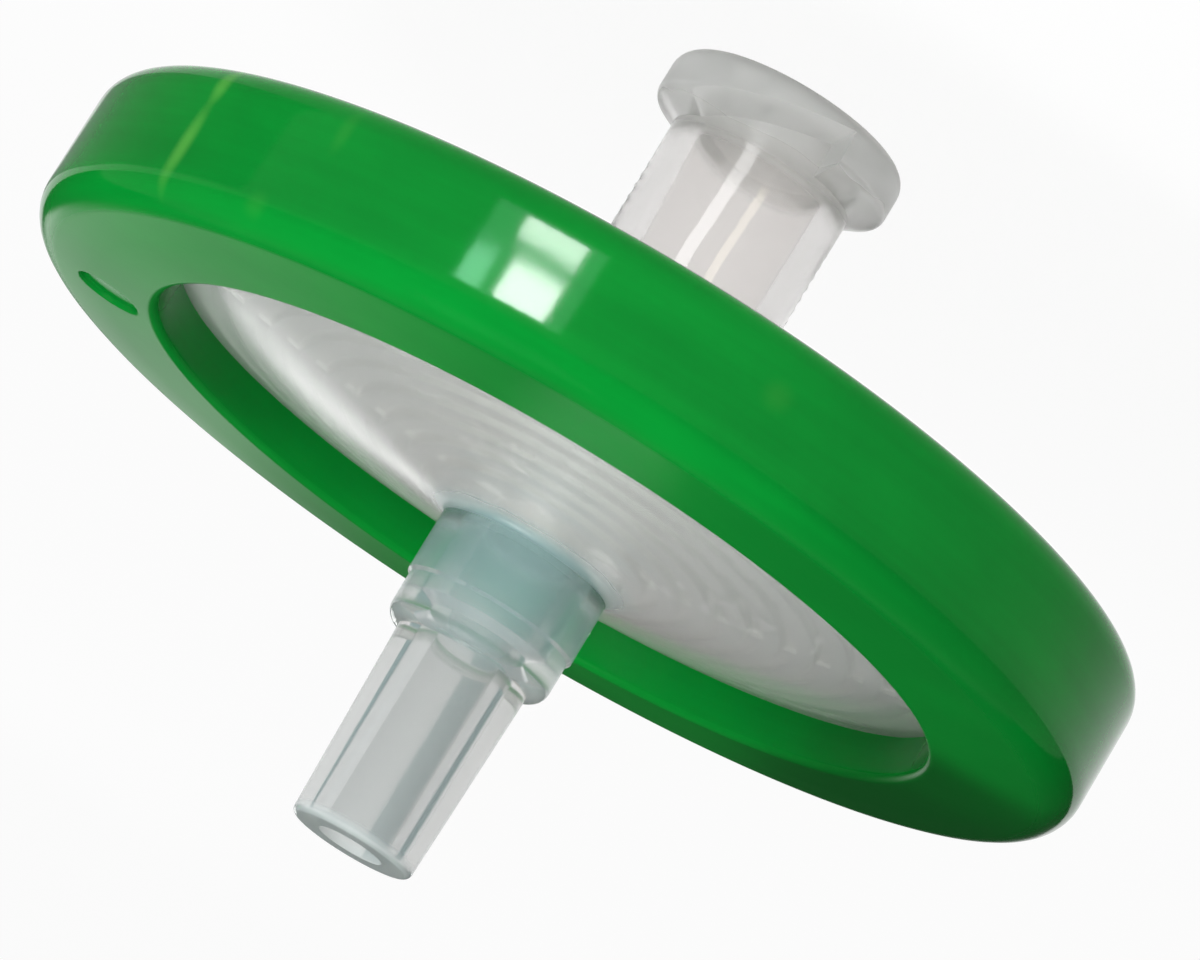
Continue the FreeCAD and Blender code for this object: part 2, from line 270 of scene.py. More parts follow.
def turned_surface(name, radius, height, turn, closed=True):
    """Mesh object over a grid; each point is (radius cos turn, radius sin turn, height).

    Rows follow the outline anticlockwise, with radius to the right and height upwards, and columns
    follow the turn, so every face points outwards. A closed outline joins its last row to its
    first. Points that fall together are welded, which closes the poles.
    """
    radius, height, turn = np.broadcast_arrays(radius, height, turn)
    rows, columns = radius.shape
    points = np.stack([radius * np.cos(turn), radius * np.sin(turn), height], axis=-1)
    index = np.arange(rows * columns).reshape(rows, columns)
    if closed:
        index = np.vstack([index, index[:1]])
    index = np.hstack([index, index[:, :1]])
    quads = np.stack([index[:-1, :-1], index[:-1, 1:], index[1:, 1:], index[1:, :-1]], axis=-1)

    mesh = bpy.data.meshes.new(name)
    mesh.from_pydata(points.reshape(-1, 3).tolist(), [], quads.reshape(-1, 4).tolist())
    welded = bmesh.new()
    welded.from_mesh(mesh)
    bmesh.ops.remove_doubles(welded, verts=welded.verts, dist=WELD)
    welded.to_mesh(mesh)
    welded.free()
    mesh.shade_smooth()
    mesh.set_sharp_from_angle(angle=SHARP_ANGLE)

    piece = bpy.data.objects.new(name, mesh)
    bpy.context.scene.collection.objects.link(piece)
    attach(piece, "root")
    return piece


def soft_step(value):
    """0 below 0, 1 above 1, and 3v^2 - 2v^3 between."""
    value = np.clip(value, 0.0, 1.0)
    return value * value * (3 - 2 * value)


def corner_row(radius, height, corner):
    """Row of an outline that lies at a sharp corner, given as (radius, height)."""
    return int(np.argmin(np.hypot(radius - corner[0], height - corner[1])))


def spoke_turns(radius, count, half_width, across=6, between=36):
    """Angles of the columns for each row, crowded at the edges of evenly spaced spokes.

    A spoke keeps its width, so its edge lies asin(half width / radius) from its middle. Each edge
    gets two columns, one draft before and after it, so that the wall between them is nearly
    upright. Near the axis a spoke is held to 0.8 of its sector, with its two columns still apart.
    """
    sector = TURN / count
    radius = np.asarray(radius)[:, None]
    widest, apart = 0.8 * sector / 2, 0.005
    inner = np.minimum(np.arcsin(np.clip((half_width - DRAFT) / radius, 0, 1)), widest)
    outer = np.minimum(np.arcsin(np.clip((half_width + DRAFT) / radius, 0, 1)), widest + apart)
    inside = np.linspace(-1.0, 1.0, across + 1)[None, :]
    outside = np.linspace(0.0, 1.0, between)[None, :]
    one = np.hstack([inner * inside, outer + (sector - 2 * outer) * outside])
    middles = np.arange(count) * sector
    return (middles[None, :, None] + one[:, None, :]).reshape(len(radius), -1)


def off_spokes(radius, turn, count):
    """Distance of each point from the middle line of its nearest spoke."""
    sector = TURN / count
    aside = np.abs((turn + sector / 2) % sector - sector / 2)
    return radius * np.sin(aside)


def ring_corners(sizes):
    """Heights of the sharp corners at the window, before their rounds.

    A face that falls at an angle s from its round edge touches the ring's box at
    round x (tan(45 + s/2) - 1) inside the sharp corner.
    """
    slope = math.atan(sizes.crown / (RING_HIGH.x - sizes.bore_radius))
    cut_off = sizes.edge * (math.tan(math.pi / 4 + slope / 2) - 1)
    return RING_LOW.z - cut_off, RING_HIGH.z + cut_off


def build_overmould_ring(sizes):
    """Band with a C-shaped section, swept round the axis, with a shallow round gate mark.

    The mark lowers the outlet face by its depth times a soft step that falls from 1 to 0 across
    the mark's edge.
    """
    outer, rim = RING_HIGH.x, OUTLET_HIGH.x
    low, high = ring_corners(sizes)
    bore, lip = sizes.bore_radius, sizes.lip
    radius, height = rounded_outline([
        (bore, low, sizes.edge, 12),
        (outer, low + sizes.crown, sizes.heel, 12),
        (outer, high - sizes.crown, sizes.shoulder, 56),
        (bore, high, sizes.edge, 4),
        (bore, high - lip, 0, 4),
        (rim, high - lip, 0, 4),
        (rim, low + sizes.back_lip, 0, 4),
        (bore, low + sizes.back_lip, 0, 4),
    ])
    even = np.linspace(-math.pi, math.pi, 540, endpoint=False)
    fine = sizes.gate_angle + np.radians(np.linspace(-6.0, 6.0, 97))
    turn = np.union1d(even, fine)[None, :]
    radius, height = radius[:, None], height[:, None]
    across = radius * np.cos(turn) - sizes.gate_place * math.cos(sizes.gate_angle)
    along = radius * np.sin(turn) - sizes.gate_place * math.sin(sizes.gate_angle)
    off_mark = np.hypot(across, along)
    below_face, mark_edge = 0.1 * MM, 0.12 * MM
    face = height > high - sizes.crown - below_face
    mark = 1 - soft_step((off_mark - sizes.gate_radius) / mark_edge + 0.5)
    height = height - np.where(face, mark, 0) * sizes.gate_depth
    return turned_surface("overmould_ring_green", radius, height, turn)


def build_outlet_half(sizes):
    """Conical cover with collar and male luer, turned, with channels and drains in its underside.

    The underside is a height for each radius and angle: the land, raised to the ceiling inside a
    round channel, and raised by the drain's depth inside a radial drain.
    """
    rim, tip, base = OUTLET_HIGH.x, OUTLET_HIGH.z, OUTLET_LOW.z
    lid = ring_corners(sizes)[1] - sizes.lip
    land = FILM_HIGH.z
    cone_top = lid + sizes.cone_rise
    step_chamfer, well_cone = 0.1 * MM, 0.3 * MM
    radius, height = rounded_outline([
        (sizes.seat_radius, base + sizes.contact, 0, 6),
        (rim + sizes.contact, base + sizes.contact, 0, 4),
        (rim + sizes.contact, lid + sizes.contact, 0, 6),
        (sizes.bore_radius + sizes.contact, lid + sizes.contact, 0, 1),
        (sizes.bore_radius, lid, 0, 24),
        (sizes.collar_radius, cone_top, sizes.collar_foot, 6),
        (sizes.collar_radius, sizes.collar_step, 0, 1),
        (sizes.neck_radius, sizes.collar_step + step_chamfer, 0, 5),
        (sizes.neck_radius, sizes.collar_top, sizes.collar_round, 1),
        (sizes.slip_base, sizes.collar_top, 0, 12),
        (sizes.slip_tip, tip, sizes.slip_round, 3),
        (sizes.lumen_radius, tip, 0, 12),
        (sizes.lumen_radius, sizes.well_top, 0, 1),
        (sizes.well_radius, sizes.well_top - well_cone, 0, 12),
        (sizes.well_radius, land, 0, 1),
        (sizes.seat_radius, land, 0, 3),
    ])
    well = corner_row(radius, height, (sizes.well_radius, land))
    starts = sizes.channel_first + sizes.channel_pitch * np.arange(sizes.channel_count)
    ends = starts + sizes.channel_width
    edges = np.stack([starts - DRAFT, starts + DRAFT, ends - DRAFT, ends + DRAFT], axis=1).ravel()
    under_radius = np.append(edges, [sizes.drain_reach - DRAFT, sizes.drain_reach + DRAFT])
    under_radius = np.unique(np.round(under_radius, 8))
    ceiling = sizes.channel_top + sizes.channel_fall * (sizes.clamp_radius - under_radius)
    in_channel = ((under_radius[:, None] > starts) & (under_radius[:, None] < ends)).any(axis=1)

    radius = np.insert(radius, well + 1, under_radius)
    height = np.insert(height, well + 1, np.where(in_channel, ceiling, land))
    half_width = sizes.drain_width / 2
    turn = spoke_turns(radius, sizes.drain_count, half_width)
    row = np.arange(len(radius))
    underside = (row >= well) & (row <= well + len(under_radius)) & (radius < sizes.drain_reach)
    radius, height = radius[:, None], height[:, None]
    in_drain = off_spokes(radius, turn, sizes.drain_count) < half_width
    drained = in_drain & underside[:, None]
    height = np.where(drained, np.maximum(height, land + sizes.drain_depth), height)
    return turned_surface("outlet_half_clear", radius, height, turn)


def build_inlet_half(sizes):
    """Female luer hub with two threaded lugs and a conical floor, turned, with radial ribs inside.

    Each lug runs half way round, from one step to the next. Its flank lies lower by
    lead x angle / turn, where the angle is what is left of the thread's sweep. Columns drift along
    the hub from the lugs' angles to the ribs' angles.
    """
    rim, top = INLET_HIGH.x, INLET_HIGH.z
    low = ring_corners(sizes)[0] + sizes.back_lip
    hub, lug = sizes.hub_radius, sizes.lug_radius
    cone_foot = low - sizes.cone_rise
    orifice_rise, rim_drop = 0.85 * MM, 0.4 * MM
    orifice_top = cone_foot + sizes.floor_gauge + orifice_rise
    floor_rim = top - rim_drop
    clamp = FILM_LOW.z
    radius, height = rounded_outline([
        (sizes.mouth_radius, INLET_LOW.z, sizes.mouth_round, 4),
        (lug, INLET_LOW.z, sizes.lug_round, 6),
        (lug, sizes.lug_height, sizes.lug_edge, 5),
        (hub, sizes.lug_root, 0, 16),
        (hub, cone_foot, sizes.hub_round, 20),
        (sizes.bore_radius, low, 0, 1),
        (sizes.bore_radius + sizes.contact, low - sizes.contact, 0, 6),
        (rim + sizes.contact, low - sizes.contact, 0, 4),
        (rim + sizes.contact, OUTLET_LOW.z, 0, 6),
        (sizes.seat_radius - sizes.contact, OUTLET_LOW.z, 0, 2),
        (sizes.seat_radius - sizes.contact, clamp, 0, 2),
        (sizes.clamp_radius, clamp, 0, 2),
        (sizes.clamp_radius, floor_rim, 0, 1),
        (sizes.orifice_radius, orifice_top, 0, 4),
        (sizes.orifice_radius, sizes.socket_depth, 0, 1),
        (sizes.socket_end, sizes.socket_depth, 0, 10),
    ])
    floor_row = corner_row(radius, height, (sizes.clamp_radius, floor_rim))
    slope = (floor_rim - orifice_top) / (sizes.clamp_radius - sizes.orifice_radius)
    rib_radius = np.array([
        sizes.rib_outer + DRAFT, sizes.rib_outer - DRAFT,
        sizes.rib_inner + DRAFT, sizes.rib_inner - DRAFT])
    rib_height = orifice_top + slope * (rib_radius - sizes.orifice_radius)
    radius = np.insert(radius, floor_row + 1, rib_radius)
    height = np.insert(height, floor_row + 1, rib_height)

    half_width = sizes.rib_width / 2
    spokes = spoke_turns(radius, sizes.drain_count, half_width)
    past_step = np.linspace(DRAFT / lug, math.pi - DRAFT / lug, spokes.shape[1] // 2)
    step = sizes.thread_angle - sizes.thread_sweep
    lugs = np.concatenate([step + past_step, step + math.pi + past_step])
    drop = sizes.thread_lead / TURN * np.tile(np.maximum(sizes.thread_sweep - past_step, 0.0), 2)

    row = np.arange(len(radius))
    outside = row < floor_row
    drift_start, drift_run = 2.4 * MM, 4 * MM
    drift = np.where(outside, soft_step((height - drift_start) / drift_run), 1.0)[:, None]
    turn = lugs[None, :] * (1 - drift) + spokes * drift
    flank = sizes.lug_root + (radius - hub) * (sizes.lug_height - sizes.lug_root) / (lug - hub)
    on_lug = outside & (radius > hub - HAIR) & (height < sizes.lug_root + HAIR)
    threaded = np.minimum(height[:, None], flank[:, None] - drop[None, :])
    height = np.where(on_lug[:, None], threaded, height[:, None])

    on_floor = (row > floor_row) & (radius < sizes.rib_outer) & (radius > sizes.rib_inner)
    on_rib = off_spokes(radius[:, None], turn, sizes.drain_count) < half_width
    height = np.where(on_rib & on_floor[:, None], sizes.rib_top, height)
    return turned_surface("inlet_half_clear", radius[:, None], height, turn)


def build_filter_film(sizes):
    """Flat disc: its section runs out along the bottom, round the cut edge and back to the axis."""
    edge = FILM_HIGH.x
    low, high = FILM_LOW.z + sizes.contact, FILM_HIGH.z - sizes.contact
    steps = np.linspace(0.0, 1.0, 25)
    radius = np.concatenate([edge * steps, edge * steps[::-1]])[:, None]
    height = np.repeat([low, high], len(steps))[:, None]
    turn = np.linspace(-math.pi, math.pi, 240, endpoint=False)[None, :]
    return turned_surface("filter_film_white", radius, height, turn, closed=False)


# ---------------------------------------- materials


def new_material(name):
    """Material with no nodes yet."""
    material = bpy.data.materials.new(name)
    material.use_nodes = True
    material.node_tree.nodes.clear()
    return material


def add_node(material, kind, settings=None, **links):
    """Add a node: settings are its own attributes, and links are values or sockets for its inputs.

    An input is named in lower case with underscores, or as input_0, input_1 and so on.
    """
    tree = material.node_tree
    node = tree.nodes.new(kind)
    for attribute, value in (settings or {}).items():
        setattr(node, attribute, value)
    for key, value in links.items():
        if key.startswith("input_"):
            socket = node.inputs[int(key.removeprefix("input_"))]
        else:
            socket = next(
                s for s in node.inputs if s.enabled and s.name.lower().replace(" ", "_") == key)
        if isinstance(value, bpy.types.NodeSocket):
            tree.links.new(value, socket)
        else:
            socket.default_value = value
    return node


def soft_mark(material, place, half_size, softness, turn=0.0):
    """Factor that is 1 inside an ellipsoid at a place in the part's own coordinates, and 0 outside.

    The place and half sizes are in metres, and the ellipsoid is turned about the filter's axis.
    Its edge is soft over that share of its size, on either side.
    """
    coordinates = add_node(material, "ShaderNodeTexCoord")
    centred = add_node(
        material, "ShaderNodeVectorMath", {"operation": "SUBTRACT"},
        input_0=coordinates.outputs["Object"], input_1=place)
    turned = add_node(
        material, "ShaderNodeVectorRotate", {"rotation_type": "Z_AXIS"},
        vector=centred.outputs[0], angle=-turn)
    scaled = add_node(
        material, "ShaderNodeVectorMath", {"operation": "DIVIDE"},
        input_0=turned.outputs[0], input_1=half_size)
    distance = add_node(
        material, "ShaderNodeVectorMath", {"operation": "LENGTH"}, input_0=scaled.outputs[0])
    fade = add_node(
        material, "ShaderNodeMapRange", {"interpolation_type": "SMOOTHSTEP"},
        value=distance.outputs["Value"], from_min=1.0 - softness, from_max=1.0 + softness,
        to_min=1.0, to_max=0.0)
    return fade.outputs["Result"]


def soft_zone(material, height, half_width, half_height, softness):
    """Soft mark whose middle lies on the filter's axis at a height; its sizes are in metres."""
    half_size = (half_width, half_width, half_height)
    return soft_mark(material, (0, 0, height), half_size, softness)


def weighted_sum(material, total, *terms):
    """Total plus each factor times its weight; a term is (factor, weight)."""
    for factor, weight in terms:
        added = add_node(
            material, "ShaderNodeMath", {"operation": "MULTIPLY_ADD"},
            input_0=factor, input_1=weight, input_2=total)
        total = added.outputs[0]
    return total


def on_wall(radius, degrees, height):
    """Point at a distance from the axis, an angle from +X and a height, all in the frame."""
    turn = math.radians(degrees)
    return (radius * math.cos(turn), radius * math.sin(turn), height)


def moulded_green_polypropylene(colours):
    """Pigmented polypropylene, injection moulded: satin green, with swirls and mould marks."""
    material = new_material("moulded_green_polypropylene")
    place = add_node(material, "ShaderNodeTexCoord").outputs["Object"]
    flattened = add_node(material, "ShaderNodeMapping", vector=place, scale=(1.0, 1.0, 2.5))
    cloud = add_node(
        material, "ShaderNodeTexNoise", vector=flattened.outputs[0], scale=0.12 / MM, detail=3.0)
    drawn_out = add_node(material, "ShaderNodeMapping", vector=place, scale=(0.06, 0.06, 2.0))
    streaks = add_node(
        material, "ShaderNodeTexNoise", vector=drawn_out.outputs[0], scale=0.9 / MM, detail=4.0,
        roughness=0.6)
    swirl = weighted_sum(material, cloud.outputs["Fac"], (streaks.outputs["Fac"], 0.5))
    density = add_node(
        material, "ShaderNodeMapRange", {"interpolation_type": "SMOOTHSTEP"},
        value=swirl, from_min=0.45, from_max=1.05)
    body = add_node(
        material, "ShaderNodeMix", {"data_type": "RGBA"}, input_0=density.outputs[0],
        input_6=colours.green_deep, input_7=colours.green)
    shade = body.outputs[2]
    mark_reach, mark_softness = 1.0 * MM, 0.8
    for degrees, low, high, half_width, strength in WALL_MARKS:
        middle = on_wall(RING_HIGH.x, degrees, (low + high) / 2 * MM)
        half_size = (mark_reach, half_width * MM, (high - low) / 2 * MM)
        mark = soft_mark(material, middle, half_size, mark_softness, math.radians(degrees))
        weak = add_node(
            material, "ShaderNodeMath", {"operation": "MULTIPLY"}, input_0=mark, input_1=strength)
        streaked = add_node(
            material, "ShaderNodeMix", {"data_type": "RGBA"}, input_0=weak.outputs[0],
            input_6=shade, input_7=colours.green_streak)
        shade = streaked.outputs[2]
    height = add_node(material, "ShaderNodeSeparateXYZ", input_0=place)
    polished_below, matt_above = RING_HIGH.z - 0.5 * MM, RING_HIGH.z - 0.1 * MM
    roughness = add_node(
        material, "ShaderNodeMapRange", value=height.outputs["Z"],
        from_min=polished_below, from_max=matt_above, to_min=0.09, to_max=0.33)
    grain = add_node(material, "ShaderNodeTexNoise", vector=place, scale=3.0 / MM, detail=3.0)
    bump = add_node(
        material, "ShaderNodeBump", strength=0.08, distance=0.02 * MM, height=grain.outputs["Fac"])
    shader = add_node(
        material, "ShaderNodeBsdfPrincipled", base_color=shade, roughness=roughness.outputs[0],
        ior=1.49, specular_ior_level=0.08, normal=bump.outputs[0])
    add_node(material, "ShaderNodeOutputMaterial", surface=shader.outputs[0])
    return material


def moulded_natural_polypropylene(colours):
    """Unpigmented polypropylene, injection moulded: clear, with a milky haze in its thick walls.

    The faces round the film come from a spark-eroded mould, so they blur what lies behind. Rays
    between the lamps and the film pass straight through, tinted, since the walls are thin.
    """
    material = new_material("moulded_natural_polypropylene")
    place = add_node(material, "ShaderNodeTexCoord").outputs["Object"]
    cloud = add_node(material, "ShaderNodeTexNoise", vector=place, scale=0.25 / MM, detail=3.0)
    polish = add_node(
        material, "ShaderNodeMapRange", value=cloud.outputs["Fac"],
        from_min=0.3, from_max=0.7, to_min=0.07, to_max=0.12)

    # Height of each zone's middle, its half width and its half height.
    chamber = soft_zone(material, FILM_HIGH.z + 0.25 * MM, 20 * MM, 1.03 * MM, softness=0.03)
    cover = soft_zone(material, 13.4 * MM, 60 * MM, 2.3 * MM, softness=0.05)
    lugs = soft_zone(material, 0.7 * MM, 6 * MM, 1.5 * MM, softness=0.3)
    collar = soft_zone(material, 16.6 * MM, 3.6 * MM, 2.4 * MM, softness=0.25)
    tip = soft_zone(material, OUTLET_HIGH.z, 6 * MM, 0.3 * MM, softness=0.5)
    spigot = soft_zone(material, 22.6 * MM, 9 * MM, 4 * MM, softness=0.2)

    roughness = weighted_sum(
        material, polish.outputs[0], (chamber, 0.03), (cover, 0.13), (lugs, 0.2), (collar, 0.12))
    thin_wall_haze = 0.12
    milkiness = weighted_sum(
        material, thin_wall_haze,
        (lugs, 0.7), (collar, 0.2), (cover, 0.15), (tip, 0.35), (spigot, 0.1))
    # Painted reflection: how much of the teal tint, standing in for the green ring's light, each
    # zone takes.
    painted_reflection_share = weighted_sum(material, collar, (spigot, 0.35), (cover, 0.15))
    tint = add_node(
        material, "ShaderNodeMix", {"data_type": "RGBA"}, input_0=spigot,
        input_6=colours.natural, input_7=colours.natural_thick)
    # Haze colour, mixed with the painted reflection of the green ring in the collar, spigot and
    # cover.
    scattered = add_node(
        material, "ShaderNodeMix", {"data_type": "RGBA"}, input_0=painted_reflection_share,
        input_6=colours.natural_haze, input_7=colours.painted_ring_reflection)
    grain = add_node(material, "ShaderNodeTexNoise", vector=place, scale=2.0 / MM, detail=2.0)
    bump = add_node(
        material, "ShaderNodeBump", strength=0.05, distance=0.02 * MM, height=grain.outputs["Fac"])
    clear = add_node(
        material, "ShaderNodeBsdfPrincipled", base_color=tint.outputs[2], roughness=roughness,
        ior=1.49, transmission_weight=1.0, normal=bump.outputs[0])
    back_scatter = add_node(
        material, "ShaderNodeBsdfPrincipled", base_color=scattered.outputs[2],
        roughness=roughness, ior=1.49, normal=bump.outputs[0])
    through_scatter = add_node(material, "ShaderNodeBsdfTranslucent", color=scattered.outputs[2])
    haze = add_node(
        material, "ShaderNodeMixShader", input_0=0.4, input_1=back_scatter.outputs[0],
        input_2=through_scatter.outputs[0])
    plastic = add_node(
        material, "ShaderNodeMixShader", input_0=milkiness, input_1=clear.outputs[0],
        input_2=haze.outputs[0])
    path = add_node(material, "ShaderNodeLightPath")
    let_through = add_node(material, "ShaderNodeBsdfTransparent", color=colours.natural)
    surface = plastic
    for ray in ("Is Diffuse Ray", "Is Shadow Ray"):
        surface = add_node(
            material, "ShaderNodeMixShader", input_0=path.outputs[ray],
            input_1=surface.outputs[0], input_2=let_through.outputs[0])
    add_node(material, "ShaderNodeOutputMaterial", surface=surface.outputs[0])
    return material


def microporous_film(colours):
    """Cast microporous membrane: matt white, faintly mottled where its pores are denser."""
    material = new_material("microporous_film")
    place = add_node(material, "ShaderNodeTexCoord").outputs["Object"]
    mottle = add_node(
        material, "ShaderNodeTexNoise", vector=place, scale=1.2 / MM, detail=4.0, roughness=0.6)
    blend = add_node(
        material, "ShaderNodeMix", {"data_type": "RGBA"}, input_0=mottle.outputs["Fac"],
        input_6=colours.film, input_7=colours.film_shade)
    shader = add_node(
        material, "ShaderNodeBsdfPrincipled", base_color=blend.outputs[2], roughness=0.9,
        ior=1.4, specular_ior_level=0.2)
    add_node(material, "ShaderNodeOutputMaterial", surface=shader.outputs[0])
    return material


def white_table(colours, glow):
    """White laminate: takes a soft shadow, and looks white in view, in gloss and in plastic."""
    material = new_material("white_table")
    place = add_node(material, "ShaderNodeTexCoord").outputs["Object"]
    grain = add_node(material, "ShaderNodeTexNoise", vector=place, scale=0.05 / MM, detail=2.0)
    tone = add_node(
        material, "ShaderNodeMapRange", value=grain.outputs["Fac"], to_min=0.97, to_max=1.0)
    lit = add_node(
        material, "ShaderNodeMix", {"data_type": "RGBA", "blend_type": "MULTIPLY"}, input_0=1.0,
        input_6=colours.table, input_7=tone.outputs[0])
    laminate = add_node(material, "ShaderNodeBsdfDiffuse", color=lit.outputs[2])
    path = add_node(material, "ShaderNodeLightPath")
    seen = path.outputs["Is Camera Ray"]
    for ray in ("Is Glossy Ray", "Is Transmission Ray"):
        either = add_node(
            material, "ShaderNodeMath", {"operation": "MAXIMUM"},
            input_0=seen, input_1=path.outputs[ray])
        seen = either.outputs[0]
    part = add_node(
        material, "ShaderNodeMath", {"operation": "MULTIPLY"}, input_0=seen, input_1=glow)
    white = add_node(material, "ShaderNodeEmission", color=colours.table, strength=1.0)
    blend = add_node(
        material, "ShaderNodeMixShader", input_0=part.outputs[0],
        input_1=laminate.outputs[0], input_2=white.outputs[0])
    add_node(material, "ShaderNodeOutputMaterial", surface=blend.outputs[0])
    return material


# ---------------------------------------- studio


def round_about(centre, azimuth, elevation, distance):
    """Point at a distance from a centre; azimuth from +X and elevation are in degrees."""
    azimuth, elevation = math.radians(azimuth), math.radians(elevation)
    level = math.cos(elevation)
    direction = Vector((math.cos(azimuth) * level, math.sin(azimuth) * level, math.sin(elevation)))
    return Vector(centre) + direction * distance


def set_up(item, centre, target, front, rays):
    """Put a lamp or card in the scene, its front axis to a target, for these kinds of ray only."""
    centre, target = Vector(centre), Vector(target)
    turned = (target - centre).to_track_quat(front, "Y").to_matrix().to_4x4()
    item.matrix_world = Matrix.Translation(centre) @ turned
    for ray in RAYS:
        setattr(item, "visible_" + ray, ray in rays)
    bpy.context.scene.collection.objects.link(item)


def add_lamp(name, centre, target, size, power, rays=RAYS[1:], tint=(1.0, 1.0, 1.0, 1.0)):
    """Rectangular area lamp that faces a target, never in view; size in metres, power in watts."""
    lamp = bpy.data.lights.new(name, "AREA")
    lamp.shape = "RECTANGLE"
    lamp.size, lamp.size_y = size
    lamp.energy = power
    lamp.color = tint[:3]
    set_up(bpy.data.objects.new(name, lamp), centre, target, "-Z", rays)


def add_card(name, centre, target, size, material, rays=RAYS):
    """Flat card round a centre, facing a target; size in metres."""
    x, y = size[0] / 2, size[1] / 2
    mesh = bpy.data.meshes.new(name)
    mesh.from_pydata([(-x, -y, 0), (x, -y, 0), (x, y, 0), (-x, y, 0)], [], [(0, 1, 2, 3)])
    mesh.materials.append(material)
    card = bpy.data.objects.new(name, mesh)
    set_up(card, centre, target, "Z", rays)


def black_velvet():
    """Black velvet of a studio flag: it swallows the light that falls on it."""
    material = new_material("black_velvet")
    place = add_node(material, "ShaderNodeTexCoord").outputs["Object"]
    nap = add_node(material, "ShaderNodeTexNoise", vector=place, scale=0.02 / MM)
    tone = add_node(
        material, "ShaderNodeMapRange", value=nap.outputs["Fac"], to_min=0.06, to_max=0.12)
    shader = add_node(material, "ShaderNodeBsdfDiffuse", color=tone.outputs[0])
    add_node(material, "ShaderNodeOutputMaterial", surface=shader.outputs[0])
    return material


def black_net():
    """Black studio net: it takes away about two thirds of the light that crosses it."""
    material = new_material("black_net")
    place = add_node(material, "ShaderNodeTexCoord").outputs["Object"]
    weave = add_node(material, "ShaderNodeTexNoise", vector=place, scale=0.1 / MM)
    threads = add_node(
        material, "ShaderNodeMapRange", value=weave.outputs["Fac"], to_min=0.6, to_max=0.7)
    yarn = add_node(material, "ShaderNodeBsdfDiffuse", color=(0.01, 0.01, 0.01, 1.0))
    gaps = add_node(material, "ShaderNodeBsdfTransparent")
    net = add_node(
        material, "ShaderNodeMixShader", input_0=threads.outputs[0], input_1=gaps.outputs[0],
        input_2=yarn.outputs[0])
    add_node(material, "ShaderNodeOutputMaterial", surface=net.outputs[0])
    return material


def painted_board(colours):
    """Board painted a flat dark teal, which clear plastic shows as a band of colour."""
    material = new_material("painted_teal_board")
    place = add_node(material, "ShaderNodeTexCoord").outputs["Object"]
    brushed = add_node(material, "ShaderNodeTexNoise", vector=place, scale=0.05 / MM)
    tone = add_node(
        material, "ShaderNodeMapRange", value=brushed.outputs["Fac"], to_min=0.9, to_max=1.0)
    paint = add_node(
        material, "ShaderNodeMix", {"data_type": "RGBA", "blend_type": "MULTIPLY"}, input_0=1.0,
        input_6=colours.board, input_7=tone.outputs[0])
    shader = add_node(material, "ShaderNodeBsdfDiffuse", color=paint.outputs[2])
    add_node(material, "ShaderNodeOutputMaterial", surface=shader.outputs[0])
    return material


def set_up_camera(studio):
    """Camera of the main view."""
    data = bpy.data.cameras.new("camera")
    data.sensor_width = 36.0
    data.lens = studio.camera_lens
    data.clip_start, data.clip_end = 0.01, 10.0
    camera = bpy.data.objects.new("camera", data)
    camera.matrix_world = (
        Matrix.Translation(studio.camera_place)
        @ Matrix.Rotation(studio.camera_tilt, 4, "X")
        @ Matrix.Rotation(studio.camera_roll, 4, "Z"))
    bpy.context.scene.collection.objects.link(camera)
    bpy.context.scene.camera = camera


def set_up_lamps(colours):
    """Softboxes that light the part, and small lamps that only gloss mirrors."""
    cover, flange, face = (4 * MM, -8 * MM, 14 * MM), (0, 0, 2 * MM), (8 * MM, 0, 15 * MM)
    add_lamp(
        "key_softbox", (22 * MM, -36 * MM, 70 * MM), cover, (32 * MM, 32 * MM), 0.036,
        ("diffuse", "transmission", "shadow"))
    add_lamp(
        "low_softbox", round_about(flange, -76, 4, 300 * MM), flange, (120 * MM, 30 * MM), 0.33,
        ("diffuse", "shadow"))
    add_lamp("back_card", (46 * MM, 190 * MM, 44 * MM), face, (52 * MM, 34 * MM), 0.0106)
    add_lamp("low_card", (17 * MM, 190 * MM, 46 * MM), face, (12 * MM, 12 * MM), 0.001)

    # Where each lamp shows: distance from the axis, angle and height. Then the way to the lamp:
    # azimuth, elevation and distance. Then its width and height, its power and its colour.
    # Lengths are in millimetres, angles in degrees and power in watts.
    wall, hub = RING_HIGH.x / MM, 3.0
    mirrored = (
        ("window", wall, -78.2, 13.25, -65.1, -14.5, 16, 4.5, 1.5, 0.003, colours.window),
        ("window_top", wall, -77.8, 11.5, -64.3, -15, 14, 4.9, 0.95, 0.0015, colours.window),
        ("sky", wall, -72.9, 13.3, -54, -14.5, 16, 2.1, 1.5, 0.0004, colours.window_cool),
        ("sky_glow", wall, -77.2, 12.4, -63.1, -14.8, 18, 10.4, 4.4, 0.0013, colours.window_cool),
        ("hub_window", hub, -79, 4.4, -68, -8, 8, 2.6, 8.4, 0.00045, colours.window),
        ("hub_lamp", hub, -97, 5.2, -104, -8, 8, 1.6, 6, 0.00013, colours.window_warm),
    )
    for name, radius, degrees, height, azimuth, elevation, away, *size, power, tint in mirrored:
        spot = on_wall(radius * MM, degrees, height * MM)
        lamp_place = round_about(spot, azimuth, elevation, away * MM)
        width, tall = size[0] * MM, size[1] * MM
        add_lamp(name, lamp_place, spot, (width, tall), power, ("glossy", "shadow"), tint)


